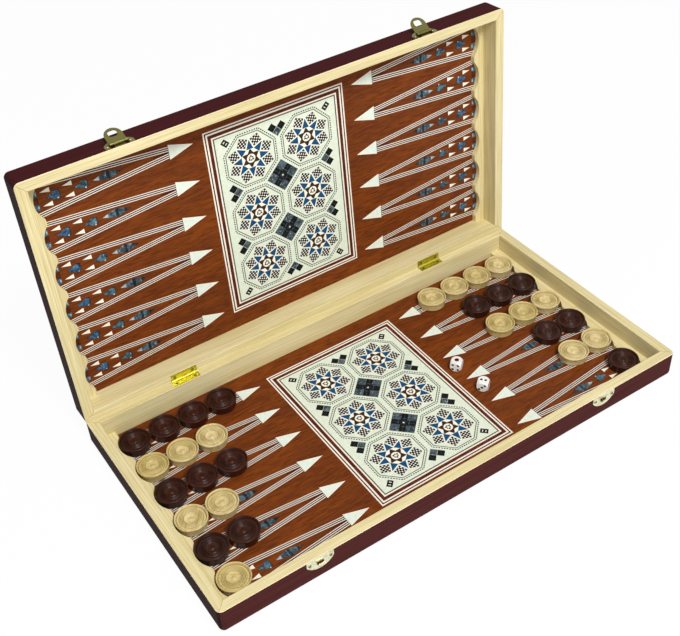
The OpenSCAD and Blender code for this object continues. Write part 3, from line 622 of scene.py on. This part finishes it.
def point(s):
    """One point along +x: arrowhead, two lined strips and the small mosaic between them."""
    teeth = RACK_HIGH.x - RACK_WIDTH
    base = s["arrow_tip"] + s["arrow_length"]
    near = POCKET / 2 + 0.2
    start, end = base + 0.3, teeth + SCOOP_DEPTH
    far = near + (s["strip_spread"] - near) * (end - start) / (teeth - start)
    # width of the arrowhead's maple edging
    edge = 0.7
    tiles = [("peach", wedge(s["arrow_tip"], base, s["arrow_width"] / 2), 3)]
    slope = s["arrow_width"] / 2 / s["arrow_length"]
    inset = edge * math.sqrt(1 + slope * slope) / slope
    inner = s["arrow_width"] / 2 - (inset + edge) * slope
    tiles.append(("pale", wedge(s["arrow_tip"] + inset, base - edge * 0.2, inner), 4))
    gap = near - s["strip_width"] / 2
    # a black stringing wedge between the two strips next to the arrowhead: painted shade between them
    tiles.append(("line", [(start, -gap), (start + 15, -0.3), (start + 15, 0.3), (start, gap)], 5))
    for side in (-1, 1):
        tiles += lined_strip((start, side * near), (end, side * far), s["strip_width"], s["dark_line"])
        for back, out in DART_TIPS:
            tiles += dart(teeth - back, out * side, s["dart_length"], s["dart_width"])
        tiles.append(("shell_teal", rectangle(SCOOP_DEPTH - 1, 5.4, teeth + 2.8, SCOOP_TILE * side), 4))
        tiles.append(("shell_pale", rectangle(1.1, 2.6, teeth + 1.4, SCOOP_TILE * side), 5))
    tiles.append(("band", rectangle(SCOOP_DEPTH - 1, 7, teeth + 2.8), 4))
    tiles += shell_bud(teeth - NEAR_BUD, s["bud_width"], "shell_blue")
    tiles += shell_bud(teeth - FAR_BUD, s["bud_width"] - 0.6, "shell_teal")
    tiles += long_shell(teeth - LONG_SHELL, s["long_shell"], s["shell_width"])
    return tiles


def all_points(s):
    """The twelve points of a tray."""
    low, high = RACK_LOW.y, RACK_HIGH.y
    pitch = (high - low - 2 * ROW_MARGIN) / ROWS
    tiles = []
    for side in (0, 180):
        for row in range(ROWS):
            y = (low + high) / 2 + pitch * ((ROWS - 1) / 2 - row)
            tiles += placed(point(s), 0, y, side)
    return tiles


# centre panel, about its own middle

OUTER_LINES, DARK_BAND, INNER_LINES = 4.2, 3.2, 2.7
ROW_GAP, COLUMN_GAP, GROUND_EDGE, TILE_GAP = 3.2, 5.0, 3.0, 2.0
PANEL = (PANEL_HIGH.x - PANEL_LOW.x, PANEL_HIGH.y - PANEL_LOW.y)
PANEL_MIDDLE = ((PANEL_HIGH.x + PANEL_LOW.x) / 2, (PANEL_HIGH.y + PANEL_LOW.y) / 2)
BORDER = OUTER_LINES + DARK_BAND + INNER_LINES
OCTAGON = (PANEL[1] - 2 * BORDER - 2 * GROUND_EDGE - 2 * ROW_GAP) / 3
PITCH = (OCTAGON + COLUMN_GAP, OCTAGON + ROW_GAP)


def border_line(outer, inner, kind):
    """A mitred frame between two distances from the panel's edge."""
    tiles = []
    a, b = (PANEL[0] / 2 - outer, PANEL[1] / 2 - outer), (PANEL[0] / 2 - inner, PANEL[1] / 2 - inner)
    for s in (-1, 1):
        tiles.append((kind, [(-a[0], s * a[1]), (a[0], s * a[1]), (b[0], s * b[1]), (-b[0], s * b[1])], 4))
        tiles.append((kind, [(s * a[0], -a[1]), (s * a[0], a[1]), (s * b[0], b[1]), (s * b[0], -b[1])], 4))
    return tiles


def border():
    """Pale and dark lines, a rosewood band and pale and grey lines again."""
    dark_start, dark_end, grey_line = 1.4, 2.6, 1.2
    stops = [0, dark_start, dark_end, OUTER_LINES, OUTER_LINES + DARK_BAND, BORDER - grey_line, BORDER]
    kinds = ["peach", "line", "peach", "band", "peach", "soft_line"]
    tiles = []
    for outer, inner, kind in zip(stops, stops[1:], kinds):
        tiles += border_line(outer, inner, kind)
    return tiles


def octagon_outline():
    """A dashed line with a thin full one inside it, round an octagon."""
    tiles = []
    dash, gap = 1.5, 0.75
    dashed, full = OCTAGON / 2 - 0.5, OCTAGON / 2 - 2.5
    for k in range(8):
        length = 2 * dashed * math.tan(math.pi / 8)
        count = int(length / (dash + gap))
        for i in range(count):
            y = (i - (count - 1) / 2) * length / count
            tiles.append(("line", turned(rectangle(1.1, dash, dashed, y), 45 * k), 1))
        line = rectangle(0.8, 2 * full * math.tan(math.pi / 8), full)
        tiles.append(("soft_line", turned(line, 45 * k), 1))
    return tiles


# share of a cell that is light in the checks; dark parts are drawn wide, so that they show
LIGHT_CELL = 0.74


def star(s):
    """Eight checked squares, eight blue points edged in white, and a six-pointed star inside.
    """
    tiles = [("white", ring_outline(8, (s["blue_base"] - 0.3) / math.cos(math.pi / 8), 22.5), 1)]
    cells = 5
    cell = s["check"] / cells
    slant = math.atan2(s["blue_width"] / 2, s["blue_tip"] - s["blue_base"])
    for k in range(8):
        ground = turned(rectangle(s["check"], s["check"]), 45)
        tiles.append(("check_dark", turned(shifted(ground, s["check_distance"], 0), 22.5 + 45 * k), 1))
        for i in range(cells):
            for j in range(1 - i % 2, cells, 2):
                light = cell * LIGHT_CELL
                square = rectangle(light, light, (i - (cells - 1) / 2) * cell, (j - (cells - 1) / 2) * cell)
                spot = turned(shifted(turned(square, 45), s["check_distance"], 0), 22.5 + 45 * k)
                tiles.append(("check_light", spot, 2))
        grown = s["white_edge"]
        edging = wedge(
            s["blue_tip"] + grown / math.sin(slant),
            s["blue_base"] - grown / 2,
            s["blue_width"] / 2 + grown * (1 / math.cos(slant) + math.tan(slant) / 2),
        )
        tiles.append(("white", turned(edging, 45 * k), 3))
        tiles.append(("blue", turned(wedge(s["blue_tip"], s["blue_base"], s["blue_width"] / 2), 45 * k), 4))
    for k in range(6):
        spike = wedge(s["inner_star"], s["inner_star"] / 2, s["inner_star"] / 2 / math.sqrt(3))
        tiles.append(("brown", turned(spike, 30 + 60 * k), 2))
    tiles.append(("brown", ring_outline(6, s["inner_star"] / math.sqrt(3)), 2))
    tiles.append(("white", ring_outline(24, s["button"]), 3))
    # three small points outwards and three inwards in the disc
    for k in range(3):
        tiles.append(("brown", turned(wedge(3.7, 1.3, 1.5), 30 + 120 * k), 4))
        tiles.append(("brown", turned(wedge(0.4, 2.6, 0.7), 90 + 120 * k), 4))
    return tiles


def cell_tiles(edge, places, kinds):
    """Dark squares side by side, turned to stand on a corner, with a thin seam between them."""
    return [
        (kind, turned(shifted(rectangle(edge - 0.25, edge - 0.25), p[0] * edge, p[1] * edge), 45), 1)
        for p, kind in zip(places, kinds)
    ]


def diamond(s):
    """Four shell squares parted by a black cross with a dark shell line in it and a pearl dot."""
    edge = s["diamond"]
    arm = edge * 0.24
    square = (edge - arm) / 2
    tiles = [("ebony", turned(rectangle(edge, edge), 45), 1)]
    for k in range(4):
        shell_square = rectangle(square - 0.3, square - 0.3, (arm + square) / 2, (arm + square) / 2)
        tiles.append(("shell_grey", turned(shell_square, 45 + 90 * k), 2))
        line = rectangle(square * 0.8, 0.9, (arm + square) / 2, 0)
        tiles.append(("shell_dark", turned(line, 45 + 90 * k), 2))
        bar = rectangle(0.6, arm * 0.7, arm / 2 + square * 0.25, 0)
        tiles.append(("shell_grey", turned(bar, 45 + 90 * k), 3))
    tiles.append(("shell_dark", turned(rectangle(arm * 0.9, arm * 0.9), 45), 2))
    tiles.append(("white", ring_outline(8, 0.9), 3))
    return tiles


def half_diamond(s):
    """Three squares with a shell one at the tip, which is at the origin."""
    edge = s["half_cell"]
    tiles = cell_tiles(edge, [(0, 0), (1, 0), (0, 1)], ["shell_grey", "ebony", "ebony"])
    for bar in (rectangle(0.5, 2.6, edge, 0), rectangle(2.6, 0.5, 0, edge)):
        tiles.append(("shell_dark", turned(bar, 45), 2))
    return placed(tiles, 0, edge / math.sqrt(2))


def corner_tile(s):
    """A dark tile with two pale bars, pointing out along x from its octagon."""
    length, width = s["corner_length"], s["corner_width"]
    x = OCTAGON / 2 + TILE_GAP + length / 2
    tiles = [("ebony", rectangle(length, width, x, 0), 1)]
    tiles += [("white", rectangle(0.8, width * 0.45, x + side * length * 0.2, 0), 2) for side in (-1, 1)]
    return tiles


def panel(s):
    """The whole centre panel in tray millimetres."""
    ground = rectangle(PANEL[0] - 2 * BORDER, PANEL[1] - 2 * BORDER)
    tiles = border() + [("mint", ground, 0)]
    reach = (OCTAGON / 2 + TILE_GAP) * math.sqrt(2)
    for j in (-1, 0, 1):
        for i in (-0.5, 0.5):
            tiles += placed(octagon_outline() + star(s), i * PITCH[0], j * PITCH[1])
    for side in (-1, 1):
        tiles += placed(diamond(s), 0, side * PITCH[1] / 2)
        tiles += placed(half_diamond(s), 0, side * (PITCH[1] + reach - PITCH[0] / 2), 0 if side > 0 else 180)
        for other in (-1, 1):
            x = side * (PITCH[0] / 2 + reach - PITCH[1] / 2)
            tiles += placed(half_diamond(s), x, other * PITCH[1] / 2, -90 * side)
            turn = math.degrees(math.atan2(other, side))
            tiles += placed(corner_tile(s), side * PITCH[0] / 2, other * PITCH[1], turn)
    return placed(tiles, *PANEL_MIDDLE)


# Fold


def fold_shade():
    """A thin pine thread along the fold, so that no daylight shows between the two hinge rails."""
    radius, sides = 0.11, 8
    # it ends short of the walls' ends and of the hinge leaves
    wall_end, leaf_end, leaf_inner = 0.3, 0.5, 29
    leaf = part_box("lower_hinge_leaves")[1].x / MM
    fold = HINGE_POINT / MM
    outer, inner, end = leaf + leaf_end, leaf - leaf_inner, TRAY_HIGH.x - wall_end
    corners, faces = [], []
    for stretch in ((-end, -outer), (-inner, inner), (outer, end)):
        faces += drum(len(corners), sides)
        for x in stretch:
            ring = ring_outline(sides, radius)
            corners += [Vector((x, fold.y + y, fold.z + z)) * MM for y, z in ring]
    wood = veneer("shaded_pine_edge", shade("#C4B27C"), shade("#AE9C66"))
    piece = mesh_piece("fold_shade", corners, faces, [wood])
    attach(piece, "lower_tray")


# Draughts pieces


def piece_profile(radius, height):
    """Half section of a turned piece: foot, wall, lip, shallow field with beads, bowl and button.

    It runs from the middle below to the middle above, in millimetres.
    """
    wall, lip, field, bowl = radius - 0.9, height - 1.9, height - 1.75, radius * 0.42
    section = [(0, 0), (wall - 1.3, 0), (wall - 0.5, 0.3), (wall - 0.12, 0.8), (wall, 1.4)]
    section += [(wall, lip - 0.15), (wall + 0.1, lip), (radius - 0.25, lip + 0.1)]
    section += [(radius - 0.05, lip + 0.4), (radius, lip + 0.8), (radius - 0.05, height - 0.6)]
    section += [(radius - 0.3, height - 0.2), (radius - 0.7, height), (radius - 1.1, height - 0.15)]
    section += [(radius - 1.35, height - 0.5), (radius - 1.45, field), (radius - 1.9, field - 0.35)]
    section += [(radius - 2.4, field), (radius - 3.4, field + 0.2), (radius * 0.71, field + 0.1)]
    for middle in (0.66, 0.58, 0.5):
        bead = radius * middle
        section += [(bead + 0.45, field - 0.1), (bead + 0.25, field + 0.75), (bead, field + 0.9)]
        section += [(bead - 0.25, field + 0.75), (bead - 0.45, field - 0.1)]
    section += [(bowl + 0.45, field), (bowl + 0.2, field + 0.7), (bowl - 0.15, field + 0.65)]
    for step in range(1, 7):
        angle = math.pi / 2 * step / 7
        section.append((2.3 + (bowl - 2.5) * math.cos(angle), field + 0.3 - 1.5 * math.sin(angle)))
    section += [(2.2, field - 1.15), (1.9, field - 0.7), (1.3, field - 0.35), (0.6, field - 0.2)]
    return section + [(0, field - 0.18)]


def turned_mesh(name, section, wood):
    """A lathe-turned mesh from a half section that starts and ends on the axis."""
    segments = 72
    corners, faces = [Vector((0, 0, section[0][1])) * MM], []
    for r, z in section[1:-1]:
        corners += [Vector((x, y, z)) * MM for x, y in ring_outline(segments, r)]
    corners.append(Vector((0, 0, section[-1][1])) * MM)
    rows, last = len(section) - 2, len(corners) - 1
    for i in range(segments):
        j = (i + 1) % segments
        faces.append([0, 1 + j, 1 + i])
        for row in range(rows - 1):
            a, b = 1 + row * segments, 1 + (row + 1) * segments
            faces.append([a + i, a + j, b + j, b + i])
        top = 1 + (rows - 1) * segments
        faces.append([top + i, top + j, last])
    mesh = bpy.data.meshes.new(name)
    mesh.from_pydata(corners, [], faces)
    mesh.shade_smooth()
    mesh.materials.append(wood)
    mesh.update()
    return mesh


# a turn that never lines two pieces up
GOLDEN_TURN = math.radians(137.5)


def turned_pieces(kind, wood):
    """The pieces of one colour, each in its CAD node's place and turned its own way round."""
    nodes = sorted(name for name in frame["nodes"] if name.startswith(kind))
    low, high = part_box(nodes[0])
    section = piece_profile((high.x - low.x) / 2 / MM, sizes()["piece_height"])
    mesh = turned_mesh(f"{kind}_turning", section, wood)
    for number, node in enumerate(nodes):
        low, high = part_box(node)
        piece = bpy.data.objects.new(f"{node}_turned", mesh)
        piece.location = ((low.x + high.x) / 2, (low.y + high.y) / 2, low.z)
        piece.rotation_euler.z = number * GOLDEN_TURN
        bpy.context.scene.collection.objects.link(piece)
        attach(piece, node)
        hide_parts(node)


# Dice

# height of the paint's foot below a face, and radii of the drilled pips less a little room
PIP_DEPTH = 0.25
PIP, BIG_PIP, PIP_ROOM = 1.3, 2.3, 0.02
DICE_TURN = 36.7
FACE_TURNS = [(0, 0, 0), (180, 0, 0), (0, -90, 0), (0, 90, 0), (90, 0, 0), (-90, 0, 0)]


def pip_places(number, edge):
    """Middles of a face's pips."""
    q = edge * 0.24
    columns = {
        1: [(0, 0)],
        2: [(0, -edge * 0.19), (0, edge * 0.19)],
        3: [(-q, q), (0, 0), (q, -q)],
        4: [(-q, -q), (-q, q), (q, -q), (q, q)],
        5: [(-q, -q), (-q, q), (0, 0), (q, -q), (q, q)],
        6: [(-q, -q), (-q, 0), (-q, q), (q, -q), (q, 0), (q, q)],
    }
    return columns[number]


def pips(node, numbers, paints, name):
    """Small painted domes in one die's pips; the first paint is for the top face's single pip."""
    low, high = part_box(node)
    edge = (high.z - low.z) / MM
    standing = Matrix.Translation((low + high) / 2) @ Matrix.Rotation(math.radians(DICE_TURN), 4, "Z")
    segments = 24
    corners, faces, marks = [], [], []
    for number, angles in zip(numbers, FACE_TURNS):
        radius = (BIG_PIP if number == 1 else PIP) - PIP_ROOM
        place = standing @ Euler([math.radians(a) for a in angles]).to_matrix().to_4x4()
        rings = [(radius, -PIP_DEPTH), (radius, 0.08 - PIP_DEPTH), (radius * 0.6, 0.12 - PIP_DEPTH)]
        for x, y in pip_places(number, edge):
            dome = drum(len(corners), segments, len(rings))
            for r, z in rings:
                ring = shifted(ring_outline(segments, r), x, y)
                corners += [place @ (Vector((px, py, edge / 2 + z)) * MM) for px, py in ring]
            faces += dome
            marks += [0 if number == 1 and angles == FACE_TURNS[0] else 1] * len(dome)
    piece = mesh_piece(name, corners, faces, paints, marks)
    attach(piece, node)


# Operators


class BOARDSET_OT_rails(bpy.types.Operator):
    """Finish the rails and racks in lacquered pine, stained outside"""

    bl_idname = "boardset.rails"
    bl_label = "Rails and Racks"

    def execute(self, context):
        for tray in TRAYS:
            dress([f"{tray}_front_rail", f"{tray}_hinge_rail"], pine(tray, "x", stained=True))
            dress([f"{tray}_left_rail", f"{tray}_right_rail"], pine(tray, "y", stained=True))
            dress([f"{tray}_racks"], pine(tray, "y"))
        fold_shade()
        return {"FINISHED"}


class BOARDSET_OT_boards(bpy.types.Operator):
    """Finish the boards in mahogany and the outer squares in pine veneer"""

    bl_idname = "boardset.boards"
    bl_label = "Boards and Outer Squares"

    def execute(self, context):
        for tray in TRAYS:
            dress([f"{tray}_board"], mahogany(tray))
            dress([f"{tray}_chess_squares"], pine(tray, "x"))
        return {"FINISHED"}


class BOARDSET_OT_marquetry(bpy.types.Operator):
    """Lay the inlays of the points and the centre panels"""

    bl_idname = "boardset.marquetry"
    bl_label = "Marquetry"

    def execute(self, context):
        woods, s = inlay_materials(), sizes()
        for tray in TRAYS:
            woods["board"] = mahogany(tray)
            for name, tiles, node, slot in (
                ("points", all_points(s), "point_inlays", "point_inlay"),
                ("panel", panel(s), "centre_panel", "panel_inlay"),
            ):
                build(f"{tray}_{name}_marquetry", tray, tiles, woods, f"{tray}_{node}")
        return {"FINISHED"}


class BOARDSET_OT_metal(bpy.types.Operator):
    """Finish the hinges, catches and screws in brass"""

    bl_idname = "boardset.metal"
    bl_label = "Hinges and Catches"

    def execute(self, context):
        hinges = ["lower_hinge_leaves", "upper_hinge_leaves", "hinge_pins"]
        dress(hinges, brass("plated_yellow_brass", tint("brass"), 0.3))
        catches = ["catch_bases", "left_catch_tab", "right_catch_tab", "catch_pins"]
        # the catches: the same plating as the keepers, in a darker tone as painted shade
        dress(catches, brass("catch_brass_painted_shade", tint("catch_brass"), 0.27))
        dress(["catch_keepers"], brass("plated_pale_brass", tint("keeper_brass"), 0.3))
        dress(["lower_screws", "upper_screws"], brass("dull_screw_brass", shade("#8C8858"), 0.36))
        return {"FINISHED"}


class BOARDSET_OT_draughts(bpy.types.Operator):
    """Turn the thirty draughts pieces in glossy wood"""

    bl_idname = "boardset.draughts"
    bl_label = "Draughts Pieces"

    def execute(self, context):
        for kind, name, tones, slot in (
            ("dark_piece", "dark_lacquered_beech", ("#1E0C07", "#472015", "#0E0503"), "dark_wood"),
            ("light_piece", "clear_lacquered_boxwood", ("#A8934E", "#E6D4A6", "#846E30"), "light_wood"),
        ):
            streak, glow, groove_shade = (shade(tone) for tone in tones)
            turned_pieces(kind, turned_wood(name, tint(kind), streak, glow, 0.3, groove_shade))
        return {"FINISHED"}


class BOARDSET_OT_dice(bpy.types.Operator):
    """Finish the dice and paint their pips"""

    bl_idname = "boardset.dice"
    bl_label = "Dice"

    def execute(self, context):
        dress(["die_one", "die_two"], dice_plastic())
        paints = [pip_paint("red_pip_paint", "#640C18"), pip_paint("black_pip_paint", "#08090A")]
        pips("die_one", [1, 6, 4, 3, 2, 5], paints, "die_one_pips")
        pips("die_two", [2, 5, 3, 4, 1, 6], paints, "die_two_pips")
        return {"FINISHED"}


class BOARDSET_OT_stage(bpy.types.Operator):
    """Make the floor, the lights, the world and the camera"""

    bl_idname = "boardset.stage"
    bl_label = "Stage"

    def execute(self, context):
        make_floor()
        make_world()
        make_lights()
        make_camera()
        context.scene.view_settings.view_transform = "Standard"
        return {"FINISHED"}


def seen(tree):
    """1 for rays from the camera, in gloss and through glass."""
    path = add(tree, "ShaderNodeLightPath")
    share = path.outputs["Is Camera Ray"]
    for ray in ("Is Glossy Ray", "Is Transmission Ray"):
        share = add(tree, MATH, {0: share, 1: path.outputs[ray]}, operation="MAXIMUM")
    return share


def make_floor():
    """A white floor that keeps a faint shadow."""
    half, sunk = 3.0, 0.0002
    made = bpy.data.materials.new("white_paper_floor")
    made.use_nodes = True
    tree = made.node_tree
    tree.nodes.clear()
    paper = add(tree, "ShaderNodeBsdfDiffuse", {"Color": shade("#F4F4F4")})
    white = add(tree, "ShaderNodeEmission", {"Color": (1, 1, 1, 1), "Strength": 1.0})
    # the rest of each camera ray is lit paper, which shows the shadow
    share = add(tree, MATH, {0: seen(tree), 1: 0.96}, operation="MULTIPLY")
    mixed = add(tree, "ShaderNodeMixShader", {0: share, 1: paper, 2: white})
    add(tree, "ShaderNodeOutputMaterial", {0: mixed})
    corners = [(x, y, 0) for x, y in rectangle(2 * half, 2 * half)]
    floor = mesh_piece("floor", corners, [(0, 1, 2, 3)], [made])
    floor.location.z = -sunk


def make_world():
    """A white background over a soft dim sky."""
    world = bpy.data.worlds.new("studio")
    world.use_nodes = True
    tree = world.node_tree
    tree.nodes.clear()
    sky = add(tree, "ShaderNodeBackground", {"Color": (1, 1, 1, 1), "Strength": 0.3})
    white = add(tree, "ShaderNodeBackground", {"Color": (1, 1, 1, 1), "Strength": 1.0})
    mixed = add(tree, "ShaderNodeMixShader", {0: seen(tree), 1: sky, 2: white})
    add(tree, "ShaderNodeOutputWorld", {0: mixed})
    bpy.context.scene.world = world


def make_lights():
    """A soft key high in front, whose shadow falls under the lid's front rail, and a weak front fill."""
    target = Vector((0.0, 0.0, 0.08))
    for name, place, power, wide in (
        ("key", (-0.15, -1.1, 1.78), 37.0, 0.55),
        ("fill", (-0.3, -1.9, 0.9), 6.0, 1.5),
    ):
        lamp = bpy.data.lights.new(name, "AREA")
        lamp.energy = power
        lamp.size = wide
        light = bpy.data.objects.new(name, lamp)
        light.location = place
        light.rotation_euler = (target - Vector(place)).to_track_quat("-Z", "Y").to_euler()
        bpy.context.scene.collection.objects.link(light)


def make_camera():
    """The photograph's view, from a camera fitted to the edges of both trays."""
    data = bpy.data.cameras.new("camera")
    data.lens = 56.84
    data.sensor_width = 36.0
    right = Vector((0.83049, -0.55493, -0.04825))
    up = Vector((0.39241, 0.52137, 0.75775))
    camera = bpy.data.objects.new("camera", data)
    turn = Matrix((right, up, right.cross(up))).transposed().to_4x4()
    camera.matrix_world = Matrix.Translation((-0.4050, -0.5907, 0.7285)) @ turn
    bpy.context.scene.collection.objects.link(camera)
    bpy.context.scene.camera = camera


class BOARDSET_PT_panel(bpy.types.Panel):
    """Sizes, colours and the steps that make the set's looks"""

    bl_idname = "BOARDSET_PT_panel"
    bl_label = "Folding Board Set"
    bl_space_type = "VIEW_3D"
    bl_region_type = "UI"
    bl_category = "Board Set"

    def draw(self, context):
        for step in STEPS:
            self.layout.operator(step.bl_idname)
        for group in (context.scene.board_set_sizes, context.scene.board_set_colours):
            box = self.layout.box()
            for name in group.__annotations__:
                box.prop(group, name)


STEPS = (
    BOARDSET_OT_stage,
    BOARDSET_OT_rails,
    BOARDSET_OT_boards,
    BOARDSET_OT_marquetry,
    BOARDSET_OT_metal,
    BOARDSET_OT_draughts,
    BOARDSET_OT_dice,
)
CLASSES = (BOARDSET_PG_sizes, BOARDSET_PG_colours, *STEPS, BOARDSET_PT_panel)


def register():
    for made in CLASSES:
        bpy.utils.register_class(made)
    bpy.types.Scene.board_set_sizes = PointerProperty(type=BOARDSET_PG_sizes)
    bpy.types.Scene.board_set_colours = PointerProperty(type=BOARDSET_PG_colours)


def unregister():
    del bpy.types.Scene.board_set_colours
    del bpy.types.Scene.board_set_sizes
    for made in reversed(CLASSES):
        bpy.utils.unregister_class(made)


def main():
    """Makes everything."""
    register()
    for step in STEPS:
        group, name = step.bl_idname.split(".")
        getattr(getattr(bpy.ops, group), name)()
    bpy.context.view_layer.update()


if __name__ == "__main__":
    main()
